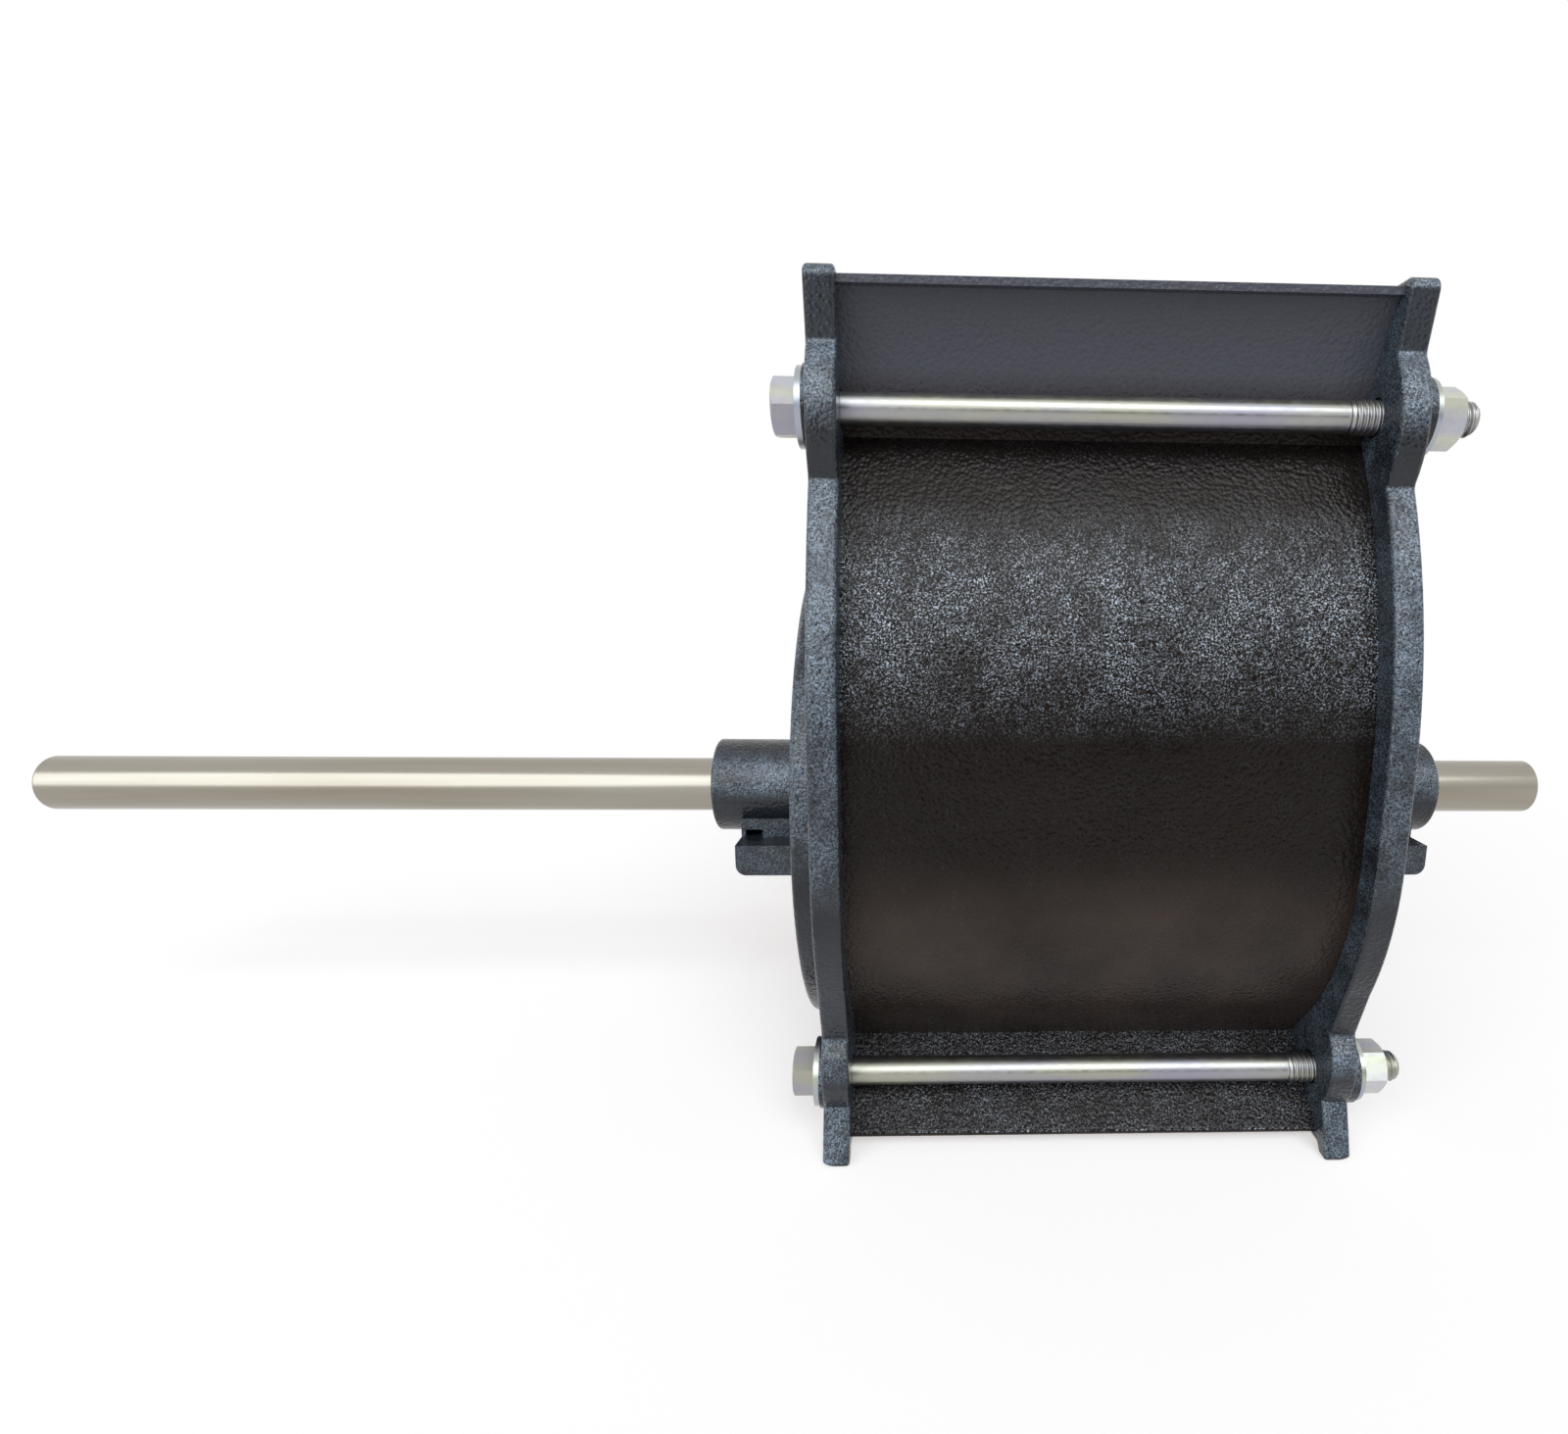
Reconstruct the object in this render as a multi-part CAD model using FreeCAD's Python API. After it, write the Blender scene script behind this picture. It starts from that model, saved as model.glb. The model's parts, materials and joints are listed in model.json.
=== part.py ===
import FreeCAD, Part
import math
import os

# Apple scratter: a cast-iron grinder head for a cider press.
# Two end plates hold a front and a rear shell between them, four long tie
# bolts clamp the four castings together, and a knife drum turns inside on a
# shaft that runs out far to the left for a crank, a flywheel or a pulley.
#
# Lengths are in millimetres.  While the pieces are drawn the shaft axis is the
# X axis, +Z is up and the front of the machine faces -Y.  place() then moves
# every piece so that the origin is the middle of the bottom of the whole.

# ------------------------------------------------------------- main sizes
DRUM_R = 95.6                   # round lower part of the end plates' outline
HOUSING_WIDTH = 159.5           # outer face to outer face of the end plates
TOP_Z = DRUM_R + 53.4           # top of the end plates above the shaft axis
BOTTOM_Z = -DRUM_R - 2.4        # soles of the feet below the shaft axis
SHAFT_DIA = 19.05
SHAFT_LEFT = 358.5              # shaft reach to the left of the middle
SHAFT_RIGHT = 174.9             # shaft reach to the right of the middle
SHAFT_END_ROUND = 0.8
RELIEF_WIDTH = 1.2              # groove at each hub mouth, ends the journal
RELIEF_DEPTH = 0.4

# --------------------------------------------------- where the bolts stand
DRUM_FLAT_TOP = 22.0            # height where the shoulder curve begins
SHOULDER_R = 180.0              # large curve leaning in to the top ears
SHELL_SETBACK = 9.0             # shell surface behind the plate's edge
SHELL_TOP_Z = TOP_Z - 1.9
CREASE_Z = SHELL_TOP_Z - 35.9   # bottom of the hollow behind the top bolts
CREASE_RISE = CREASE_Z - DRUM_FLAT_TOP
CREASE_Y = DRUM_R - SHOULDER_R + math.sqrt((SHOULDER_R - SHELL_SETBACK) ** 2 - CREASE_RISE ** 2)
BOLT_Y = CREASE_Y + 6.5
BOLT_TOP_Z = CREASE_Z + 6.1
BOLT_LOW_Z = BOTTOM_Z + 22.6

# --------------------------------------------------- end plate, side outline
PLATE_THICK = 8.0
PLATE_EDGE_ROUND = 1.2
HOLLOW_ROUND = 2.0              # cast fillets in the outline's inner corners
CORNER_Y = BOLT_Y + 13.5
CORNER_ROUND = 3.0
WAIST_Y = BOLT_Y + 9.3
WAIST_Z = TOP_Z - 17.5
NOTCH_Z = BOLT_TOP_Z - 18.8
TOP_EAR_Y = BOLT_Y + 14.9
DRUM_END_ANGLE = 27.0           # lower end of the round part, below level
HIP_Y = BOLT_Y + 11.2
HIP_Z = BOLT_LOW_Z + 16.6
LEDGE_Y = BOLT_Y + 14.2
LEDGE_Z = BOLT_LOW_Z + 12.0
LOW_EAR_Y = BOLT_Y + 14.8
LOW_EAR_Z = BOLT_LOW_Z + 4.6
ANKLE_Y = BOLT_Y + 11.0
ANKLE_Z = BOTTOM_Z + 17.0
TOE_Y = BOLT_Y + 16.6
TOE_ROUND = 1.4
HEEL_Y = TOE_Y - 5.2
ARCH_Y = HEEL_Y - 2.0
ARCH_Z = BOTTOM_Z + 2.3
TOE_DRAFT_WIDTH = 4.0           # slope under the outer side of each foot
TOE_DRAFT_RISE = 2.4

# ------------------------------------- end plate, disc, pocket, hub and lug
DISC_R = DRUM_R - 15.8
DISC_RISE = 7.5
DISC_ROUND = 1.5
POCKET_R = DRUM_R - 16.7        # inside pocket that houses a drum cheek
POCKET_DEPTH = 5.5
HUB_R = 16.5
HUB_ROUND = 1.2
HUB_REACH_LEFT = 44.8           # beyond the plate's outer face
HUB_REACH_RIGHT = 54.1
LUG_REACH_LEFT = 34.5
LUG_REACH_RIGHT = 45.0
LUG_HALF_DEPTH = 28.0
LUG_TOP_Z = -15.1
LUG_THICK = 10.5
LUG_ROUND = 3.5
SADDLE_HALF_DEPTH = 16.9        # block between hub and lug
SADDLE_TOP_Z = -8.6
SLOT_WIDTH = 5.8
SLOT_HEIGHT = 2.6
SLOT_INSET = 1.5                # from the lug's end to the slot

# --------------------------------------------------------------- the shells
SHELL_WALL = 6.0
SHELL_SEAT_DEPTH = 2.0          # groove in each end plate
SEAT_CLEARANCE = 0.25
RIM_Y = BOLT_Y + 9.5
RIM_HEIGHT = 2.0
FLARE_Y = RIM_Y - 2.6
FLARE_MID_Y = BOLT_Y - 2.2
FLARE_MID_Z = SHELL_TOP_Z - 18.1
FLARE_WALL = 5.0
BELLY_END_Z = BOLT_LOW_Z + 19.4  # where the round front turns under
LOW_CREASE_Y = BOLT_Y - 16.0
LOW_CREASE_Z = BOLT_LOW_Z + 3.9
LIP_Y = BOLT_Y + 10.2
LIP_Z = BOTTOM_Z + 4.0
LIP_WALL = 5.5
LIP_ROUND = 1.5

# ------------------------------------------------------- 3/8-16 tie bolts
BOLT_LENGTH = HOUSING_WIDTH + 22.0    # under the head
BOLT_THREAD_LENGTH = 35.3
BOLT_THREAD_DIA = 9.4
BOLT_SHANK_DIA = 8.55
BOLT_HOLE_DIA = 10.3
BOLT_END_CHAMFER = 1.0
HEX_FLATS = 14.29
HEAD_THICK = 6.6
NUT_THICK = 8.33
NUT_BORE = 9.5
HEX_CHAMFER = 1.2
WASHER_DIA = 20.6
WASHER_HOLE = 10.3
WASHER_THICK = 1.65
BOSS_R = 10.9
BOSS_RISE_LEFT = 1.4
BOSS_RISE_RIGHT = 3.6
HEAD_TURN_TOP = -4.0            # turn of each hexagon about its bolt
HEAD_TURN_LOW = -29.3
NUT_TURN_TOP = 28.7
NUT_TURN_LOW = -2.2

# -------------------------------------------------- bearings and thrust gap
RUNNING_GAP = 0.05              # radial, shaft in bush
BUSH_DIA = 25.4
BUSH_PRESS_GAP = 0.01
BUSH_RECESS = 0.6               # bush end below the hub's end face
BUSH_FLANGE_DIA = 31.6
BUSH_FLANGE_THICK = 2.0
THRUST_DIA = 31.6
THRUST_THICK = 1.6
THRUST_GAP = 0.4

# ------------------------------------------------------------ the knife drum
DRUM_OUT_R = DRUM_R - 33.6
DRUM_IN_R = DRUM_OUT_R - 10.0
DRUM_HUB_R = 18.0
DRUM_BORE_GAP = 0.02
DRUM_WEB = 10.0
CHEEK_R = POCKET_R - 1.9        # discs that close the drum's ends
CHEEK_THICK = 5.0
CHEEK_GAP = 0.9                 # cheek face to the bottom of the pocket
CHEEK_BORE_GAP = 0.05
CHEEK_SCREW_COUNT = 4
CHEEK_SCREW_R = DRUM_OUT_R - 5.0      # distance of the screws from the shaft axis
CHEEK_SCREW_DIA = 4.83
CHEEK_SCREW_LENGTH = 16.0
CHEEK_SCREW_HEAD_DIA = 9.6
CHEEK_SCREW_HEAD_DEPTH = 2.7
KNIFE_COUNT = 4
KNIFE_FIRST_ANGLE = 45.0
KNIFE_TIP_R = CHEEK_R - 1.0
KNIFE_FOOT_R = DRUM_OUT_R - 13.0
KNIFE_THICK = 3.2
KNIFE_END_GAP = 0.5
TOOTH_COUNT = 11
TOOTH_DEPTH = 5.0
TOOTH_LAND = 0.45               # share of the tooth pitch left flat at the tip
SEAT_BACK = 14.0                # cast seat behind each knife
SEAT_FRONT = 19.0
SEAT_IN_R = DRUM_OUT_R - 22.0
POCKET_FLOOR_R = DRUM_OUT_R - 13.2
CHIP_WIDTH = 16.0               # open chip space in front of each knife
SCREW_COUNT = 3
SCREW_PITCH = 50.0
SCREW_R = DRUM_OUT_R - 6.5      # distance of the screws from the shaft axis
SCREW_DIA = 6.35
SCREW_LENGTH = 14.0
SCREW_GAP = 0.03
SCREW_HEAD_DIA = 11.2
SCREW_HEAD_THICK = 4.2

# ---------------------------------------------------- key and its set screws
KEY_SIZE = 4.76
KEY_LENGTH = 120.0
KEY_SINK = 2.4                  # into the shaft
KEY_GAP = 0.03
SET_SCREW_DIA = 7.94
SET_SCREW_REACH = 17.4          # outer end, from the shaft axis
SET_SCREW_X = 45.0
SET_SOCKET_DIA = 4.0
SET_SOCKET_DEPTH = 2.5
ACCESS_DIA = 9.5

# ------------------------------------------------------------ derived sizes
HALF_WIDTH = HOUSING_WIDTH / 2.0
INNER_FACE = HALF_WIDTH - PLATE_THICK
POCKET_FACE = INNER_FACE + POCKET_DEPTH
BOSS_FACE_LEFT = -HALF_WIDTH - BOSS_RISE_LEFT
BOSS_FACE_RIGHT = HALF_WIDTH + BOSS_RISE_RIGHT
HEAD_FACE = BOSS_FACE_LEFT - WASHER_THICK
NUT_FACE = BOSS_FACE_RIGHT + WASHER_THICK
SHOULDER_Y = DRUM_R - SHOULDER_R
SHELL_R = DRUM_R - SHELL_SETBACK
BORE_R = SHELL_R - SHELL_WALL
BUSH_FACE = POCKET_FACE - BUSH_FLANGE_THICK
DRUM_HUB_END = BUSH_FACE - THRUST_GAP - THRUST_THICK
CHEEK_FACE = POCKET_FACE - CHEEK_GAP
CHEEK_BACK = CHEEK_FACE - CHEEK_THICK
KNIFE_HALF = CHEEK_BACK - KNIFE_END_GAP
KEY_TOP = SHAFT_DIA / 2.0 - KEY_SINK + KEY_SIZE
ORIGIN = FreeCAD.Vector((SHAFT_LEFT - SHAFT_RIGHT) / 2.0, 0, -BOTTOM_Z)
BOLT_SPOTS = {
    "TOP_FRONT": (-BOLT_Y, BOLT_TOP_Z, HEAD_TURN_TOP, NUT_TURN_TOP),
    "TOP_REAR": (BOLT_Y, BOLT_TOP_Z, HEAD_TURN_TOP, NUT_TURN_TOP),
    "LOW_FRONT": (-BOLT_Y, BOLT_LOW_Z, HEAD_TURN_LOW, NUT_TURN_LOW),
    "LOW_REAR": (BOLT_Y, BOLT_LOW_Z, HEAD_TURN_LOW, NUT_TURN_LOW),
}

X_AXIS = FreeCAD.Vector(1, 0, 0)
Y_AXIS = FreeCAD.Vector(0, 1, 0)
CENTRE = FreeCAD.Vector(0, 0, 0)


# ------------------------------------------------------------------ helpers
def place(shape):
    """Move a finished piece from the shaft frame to the hand-in frame."""
    moved = shape.copy()
    moved.translate(ORIGIN)
    return moved


def point(y, z, x=0.0):
    return FreeCAD.Vector(x, y, z)


def polar(radius, degrees):
    """Side-view point at an angle below the level line through the axis."""
    turn = math.radians(degrees)
    return point(radius * math.cos(turn), -radius * math.sin(turn))


def shoulder_point(radius, z):
    """Side-view point on a curve about the shoulder centre."""
    return point(SHOULDER_Y + math.sqrt(radius ** 2 - (z - DRUM_FLAT_TOP) ** 2), z)


def line(a, b):
    return Part.makeLine(a, b)


def arc(a, middle, b):
    return Part.Arc(a, middle, b).toShape()


def round_corner(corner, before, after, radius):
    """Tangent arc at a corner: its start, middle and end points."""
    back = (before - corner).normalize()
    ahead = (after - corner).normalize()
    half = back.getAngle(ahead) / 2.0
    reach = radius / math.tan(half)
    bisector = (back + ahead).normalize()
    centre = corner + bisector * (radius / math.sin(half))
    middle = centre - bisector * radius
    return corner + back * reach, middle, corner + ahead * reach


def extrude_face(edges, x_from, x_to):
    """Solid from a closed side-view outline, between two X values."""
    face = Part.Face(Part.Wire(Part.__sortEdges__(edges)))
    solid = face.extrude(FreeCAD.Vector(x_to - x_from, 0, 0))
    solid.translate(FreeCAD.Vector(x_from, 0, 0))
    return solid


def mirror_y(shape):
    return shape.mirror(CENTRE, Y_AXIS)


def mirror_x(shape):
    return shape.mirror(CENTRE, X_AXIS)


def cylinder_x(radius, x_from, x_to, y=0.0, z=0.0):
    low = min(x_from, x_to)
    return Part.makeCylinder(radius, abs(x_to - x_from), point(y, z, low), X_AXIS)


def ring_x(outer, inner, x_from, x_to):
    return cylinder_x(outer, x_from, x_to).cut(cylinder_x(inner, x_from, x_to))


def box(x_from, x_to, y_from, y_to, z_from, z_to):
    corner = FreeCAD.Vector(x_from, y_from, z_from)
    return Part.makeBox(x_to - x_from, y_to - y_from, z_to - z_from, corner)


def edges_at(shape, chosen):
    """Edges for which chosen(bounding box) is true."""
    return [edge for edge in shape.Edges if chosen(edge.BoundBox)]


def hexagon_x(flats, x_from, x_to, turn):
    """Hexagonal prism along X; at turn 0 one corner points to the front."""
    corner_r = flats / math.sqrt(3.0)
    corners = []
    for index in range(7):
        angle = math.radians(turn + 60.0 * index)
        corners.append(point(-corner_r * math.cos(angle), corner_r * math.sin(angle), x_from))
    face = Part.Face(Part.makePolygon(corners))
    return face.extrude(FreeCAD.Vector(x_to - x_from, 0, 0))


def hex_cone(flats, x_face, x_back, sign):
    """Turned blank that breaks the corners of a hexagon at its outer face."""
    corner_r = flats / math.sqrt(3.0)
    depth = HEX_CHAMFER
    near = min(x_face, x_back)
    body = cylinder_x(corner_r + 1.0, x_back, x_face - sign * depth)
    slope = (corner_r + 1.0 - flats * 0.485) / 2.0
    start = point(0, 0, x_face - sign * depth)
    cone = Part.makeCone(corner_r + 1.0, corner_r + 1.0 - 2.0 * slope, depth, start, X_AXIS * sign)
    return body.fuse(cone)


# --------------------------------------------------------------- end plates
def plate_outline():
    """Outline edges of an end plate, rear half then its mirror image."""
    top = point(0, TOP_Z)
    corner = point(CORNER_Y, TOP_Z)
    waist = point(WAIST_Y, WAIST_Z)
    notch = shoulder_point(SHOULDER_R, NOTCH_Z)
    flat_top = point(DRUM_R, DRUM_FLAT_TOP)
    flat_end = point(DRUM_R, 0)
    drum_end = polar(DRUM_R, DRUM_END_ANGLE)
    hip = point(HIP_Y, HIP_Z)
    ledge = point(LEDGE_Y, LEDGE_Z)
    ankle = point(ANKLE_Y, ANKLE_Z)
    sole = point(TOE_Y, BOTTOM_Z)
    heel = point(HEEL_Y, BOTTOM_Z)
    arch = point(ARCH_Y, ARCH_Z)
    middle = point(0, ARCH_Z)
    corner_in, corner_mid, corner_out = round_corner(corner, top, waist, CORNER_ROUND)
    toe_in, toe_mid, toe_out = round_corner(sole, ankle, heel, TOE_ROUND)
    shoulder_mid = shoulder_point(SHOULDER_R, (NOTCH_Z + DRUM_FLAT_TOP) / 2.0)
    half = [
        line(top, corner_in),
        arc(corner_in, corner_mid, corner_out),
        line(corner_out, waist),
        arc(waist, point(TOP_EAR_Y, BOLT_TOP_Z), notch),
        arc(notch, shoulder_mid, flat_top),
        line(flat_top, flat_end),
        arc(flat_end, polar(DRUM_R, DRUM_END_ANGLE / 2.0), drum_end),
        line(drum_end, hip),
        line(hip, ledge),
        arc(ledge, point(LOW_EAR_Y, LOW_EAR_Z), ankle),
        line(ankle, toe_in),
        arc(toe_in, toe_mid, toe_out),
        line(toe_out, heel),
        line(heel, arch),
        line(arch, middle),
    ]
    return half + [mirror_y(edge) for edge in half]


def plate_blank():
    """Flat plate on the left, its hollow corners and then its rims rounded."""
    blank = extrude_face(plate_outline(), -HALF_WIDTH, -INNER_FACE)
    notch_y = shoulder_point(SHOULDER_R, NOTCH_Z).y
    hollows = (WAIST_Y, notch_y, polar(DRUM_R, DRUM_END_ANGLE).y, HIP_Y)
    corners = []
    for y in hollows:
        corners += edges_at(blank, lambda b: b.XLength > 1 and abs(abs(b.Center.y) - y) < 0.01)
    blank = blank.makeFillet(HOLLOW_ROUND, corners)
    rims = edges_at(blank, lambda b: b.XLength < 0.001)
    return blank.makeFillet(PLATE_EDGE_ROUND, rims)


def toe_draft():
    """Wedge under the outer side of the left plate's feet."""
    outer = -HALF_WIDTH - 1.0
    corners = [(outer, BOTTOM_Z - 1.0), (-HALF_WIDTH + TOE_DRAFT_WIDTH, BOTTOM_Z - 1.0),
               (-HALF_WIDTH + TOE_DRAFT_WIDTH, BOTTOM_Z), (outer, BOTTOM_Z + TOE_DRAFT_RISE)]
    ring = [FreeCAD.Vector(x, -DRUM_R, z) for x, z in corners + corners[:1]]
    return Part.Face(Part.makePolygon(ring)).extrude(FreeCAD.Vector(0, 2.0 * DRUM_R, 0))


def disc_and_hub(reach):
    disc = cylinder_x(DISC_R, -HALF_WIDTH - DISC_RISE, -HALF_WIDTH + 1.0)
    rim = edges_at(disc, lambda b: b.XMax < -HALF_WIDTH - DISC_RISE + 0.001)
    disc = disc.makeFillet(DISC_ROUND, rim)
    end = -HALF_WIDTH - reach
    hub = cylinder_x(HUB_R, end, -HALF_WIDTH)
    rim = edges_at(hub, lambda b: b.XMax < end + 0.001)
    return disc.fuse(hub.makeFillet(HUB_ROUND, rim))


def lug_and_saddle(reach):
    """Mounting lug under the hub, the saddle block and its cored slot."""
    end = -HALF_WIDTH - reach
    low = LUG_TOP_Z - LUG_THICK
    lug = box(end, -HALF_WIDTH, -LUG_HALF_DEPTH, LUG_HALF_DEPTH, low, LUG_TOP_Z)
    lower = edges_at(lug, lambda b: b.XMax < end + 0.001 and b.ZMax < low + 0.001)
    lug = lug.makeFillet(LUG_ROUND, lower)
    saddle = box(end, -HALF_WIDTH, -SADDLE_HALF_DEPTH, SADDLE_HALF_DEPTH,
                 LUG_TOP_Z - 1.0, SADDLE_TOP_Z)
    slot_x = end + SLOT_INSET
    slot = box(slot_x, slot_x + SLOT_WIDTH, -SADDLE_HALF_DEPTH, SADDLE_HALF_DEPTH,
               LUG_TOP_Z, LUG_TOP_Z + SLOT_HEIGHT)
    slot = slot.cut(cylinder_x(HUB_R, end - 1.0, -HALF_WIDTH))
    return lug.fuse(saddle).cut(slot)


def end_plate(hub_reach, lug_reach, boss_rise):
    """Left-hand end plate casting."""
    body = plate_blank().fuse([disc_and_hub(hub_reach), lug_and_saddle(lug_reach)])
    for y, z, head_turn, nut_turn in BOLT_SPOTS.values():
        body = body.fuse(cylinder_x(BOSS_R, -HALF_WIDTH - boss_rise, -HALF_WIDTH + 1.0, y, z))
    for y, z, head_turn, nut_turn in BOLT_SPOTS.values():
        start = -HALF_WIDTH - boss_rise - 1.0
        body = body.cut(cylinder_x(BOLT_HOLE_DIA / 2.0, start, -INNER_FACE + 1.0, y, z))
    body = body.cut(cylinder_x(POCKET_R, -POCKET_FACE, -INNER_FACE + 1.0))
    body = body.cut(toe_draft())
    bore = BUSH_DIA / 2.0 + BUSH_PRESS_GAP
    body = body.cut(cylinder_x(bore, -HALF_WIDTH - hub_reach - 1.0, -INNER_FACE))
    seat_floor = -INNER_FACE - SHELL_SEAT_DEPTH
    for front in (False, True):
        body = body.cut(shell_solid(seat_floor, -INNER_FACE + 1.0, SEAT_CLEARANCE, front))
    return body.removeSplitter()


# ------------------------------------------------------------------- shells
def shell_outline():
    """Section of the rear shell: outside from rim to lip, then back inside."""
    rim_top = point(RIM_Y, SHELL_TOP_Z)
    rim_low = point(RIM_Y, SHELL_TOP_Z - RIM_HEIGHT)
    flare_top = point(FLARE_Y, SHELL_TOP_Z - RIM_HEIGHT)
    crease = shoulder_point(SHOULDER_R - SHELL_SETBACK, CREASE_Z)
    flat_top = point(SHELL_R, DRUM_FLAT_TOP)
    flat_end = point(SHELL_R, 0)
    belly_angle = math.degrees(math.asin(-BELLY_END_Z / SHELL_R))
    round_end = polar(SHELL_R, belly_angle)
    low_crease = point(LOW_CREASE_Y, LOW_CREASE_Z)
    lip_corner = point(LIP_Y, LIP_Z)
    lip_way = (lip_corner - low_crease).normalize()
    lip_side = point(lip_way.z, -lip_way.y) * LIP_WALL
    lip_drop = (LIP_Z - (low_crease + lip_side).z) / lip_way.z
    lip_inner = low_crease + lip_side + lip_way * lip_drop
    lip_start, lip_mid, lip_end = round_corner(lip_corner, low_crease, lip_inner, LIP_ROUND)
    inner_low = line_meets_circle(lip_inner, lip_way * -1.0, BORE_R)
    inner_angle = math.degrees(math.atan2(-inner_low.z, inner_low.y))
    bore_end = point(BORE_R, 0)
    bore_top = point(BORE_R, DRUM_FLAT_TOP)
    inner_r = SHOULDER_R - SHELL_SETBACK - SHELL_WALL
    inner_crease = shoulder_point(inner_r, CREASE_Z - 3.0)
    throat_top = point(FLARE_Y - FLARE_WALL, SHELL_TOP_Z)
    outside_mid = (CREASE_Z + DRUM_FLAT_TOP) / 2.0
    return [
        line(rim_top, rim_low),
        line(rim_low, flare_top),
        arc(flare_top, point(FLARE_MID_Y, FLARE_MID_Z), crease),
        arc(crease, shoulder_point(SHOULDER_R - SHELL_SETBACK, outside_mid), flat_top),
        line(flat_top, flat_end),
        arc(flat_end, polar(SHELL_R, belly_angle / 2.0), round_end),
        line(round_end, low_crease),
        line(low_crease, lip_start),
        arc(lip_start, lip_mid, lip_end),
        line(lip_end, lip_inner),
        line(lip_inner, inner_low),
        arc(inner_low, polar(BORE_R, inner_angle / 2.0), bore_end),
        line(bore_end, bore_top),
        arc(bore_top, shoulder_point(inner_r, outside_mid), inner_crease),
        arc(inner_crease, point(FLARE_MID_Y - FLARE_WALL, FLARE_MID_Z + 1.0), throat_top),
        line(throat_top, rim_top),
    ]


def line_meets_circle(start, way, radius):
    """First point along a side-view ray at a given distance from the axis."""
    along = start.dot(way)
    gap = start.dot(start) - radius ** 2
    return start + way * (-along - math.sqrt(along ** 2 - gap))


def shell_solid(x_from, x_to, grow, front):
    """Shell section run between two X values, grown all round by a clearance."""
    wire = Part.Wire(Part.__sortEdges__(shell_outline()))
    if grow > 0:
        wire = wire.makeOffset2D(grow)
    solid = Part.Face(wire).extrude(FreeCAD.Vector(x_to - x_from, 0, 0))
    solid.translate(FreeCAD.Vector(x_from, 0, 0))
    return mirror_y(solid) if front else solid


def shell(front):
    half = INNER_FACE + SHELL_SEAT_DEPTH
    return shell_solid(-half, half, 0.0, front)


# ---------------------------------------------------------------- tie bolts
def tie_bolt(y, z, turn):
    head = hexagon_x(HEX_FLATS, HEAD_FACE - HEAD_THICK, HEAD_FACE, turn)
    head = head.common(hex_cone(HEX_FLATS, HEAD_FACE - HEAD_THICK, HEAD_FACE, -1))
    end = HEAD_FACE + BOLT_LENGTH
    thread_start = end - BOLT_THREAD_LENGTH
    shank = cylinder_x(BOLT_SHANK_DIA / 2.0, HEAD_FACE, thread_start)
    thread = cylinder_x(BOLT_THREAD_DIA / 2.0, thread_start, end)
    tip = edges_at(thread, lambda b: b.XMin > end - 0.001)
    bolt = head.fuse([shank, thread.makeChamfer(BOLT_END_CHAMFER, tip)])
    bolt.translate(point(y, z))
    return bolt


def washer(x_from, x_to, y, z):
    body = ring_x(WASHER_DIA / 2.0, WASHER_HOLE / 2.0, x_from, x_to)
    body.translate(point(y, z))
    return body


def tie_nut(y, z, turn):
    face = NUT_FACE + NUT_THICK
    nut = hexagon_x(HEX_FLATS, NUT_FACE, face, turn)
    nut = nut.common(hex_cone(HEX_FLATS, face, NUT_FACE, 1))
    nut = nut.cut(cylinder_x(NUT_BORE / 2.0, NUT_FACE - 1.0, face + 1.0))
    nut.translate(point(y, z))
    return nut


# ----------------------------------------------------------- shaft, bearings
def shaft():
    body = cylinder_x(SHAFT_DIA / 2.0, -SHAFT_LEFT, SHAFT_RIGHT)
    ends = edges_at(body, lambda b: b.XLength < 0.001)
    body = body.makeFillet(SHAFT_END_ROUND, ends)
    left_mouth = -HALF_WIDTH - HUB_REACH_LEFT
    right_mouth = HALF_WIDTH + HUB_REACH_RIGHT
    for start in (left_mouth, right_mouth - RELIEF_WIDTH):
        relief = ring_x(SHAFT_DIA, SHAFT_DIA / 2.0 - RELIEF_DEPTH, start, start + RELIEF_WIDTH)
        body = body.cut(relief)
    half = KEY_LENGTH / 2.0 + KEY_GAP
    side = KEY_SIZE / 2.0 + KEY_GAP
    floor = SHAFT_DIA / 2.0 - KEY_SINK
    return body.cut(box(-half, half, -side, side, floor, SHAFT_DIA))


def bush(hub_reach):
    """Left-hand flanged bush, pressed into the hub from inside."""
    end = HALF_WIDTH + hub_reach - BUSH_RECESS
    body = cylinder_x(BUSH_DIA / 2.0, -end, -BUSH_FACE)
    flange = cylinder_x(BUSH_FLANGE_DIA / 2.0, -POCKET_FACE, -BUSH_FACE)
    bore = SHAFT_DIA / 2.0 + RUNNING_GAP
    return body.fuse(flange).cut(cylinder_x(bore, -end - 1.0, -BUSH_FACE + 1.0))


def thrust_washer():
    bore = SHAFT_DIA / 2.0 + DRUM_BORE_GAP
    return ring_x(THRUST_DIA / 2.0, bore, -DRUM_HUB_END - THRUST_THICK, -DRUM_HUB_END)


def key():
    half = KEY_LENGTH / 2.0
    side = KEY_SIZE / 2.0
    return box(-half, half, -side, side, SHAFT_DIA / 2.0 - KEY_SINK, KEY_TOP)


def set_screws():
    """Two socket set screws that bear on the key."""
    screws = []
    length = SET_SCREW_REACH - KEY_TOP - KEY_GAP
    for x in (-SET_SCREW_X, SET_SCREW_X):
        foot = FreeCAD.Vector(x, 0, KEY_TOP + KEY_GAP)
        screw = Part.makeCylinder(SET_SCREW_DIA / 2.0 - SCREW_GAP, length, foot)
        mouth = FreeCAD.Vector(x, 0, SET_SCREW_REACH - SET_SOCKET_DEPTH)
        socket = Part.makeCylinder(SET_SOCKET_DIA / 2.0, SET_SOCKET_DEPTH, mouth)
        screws.append(screw.cut(socket))
    return Part.makeCompound(screws)


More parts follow.
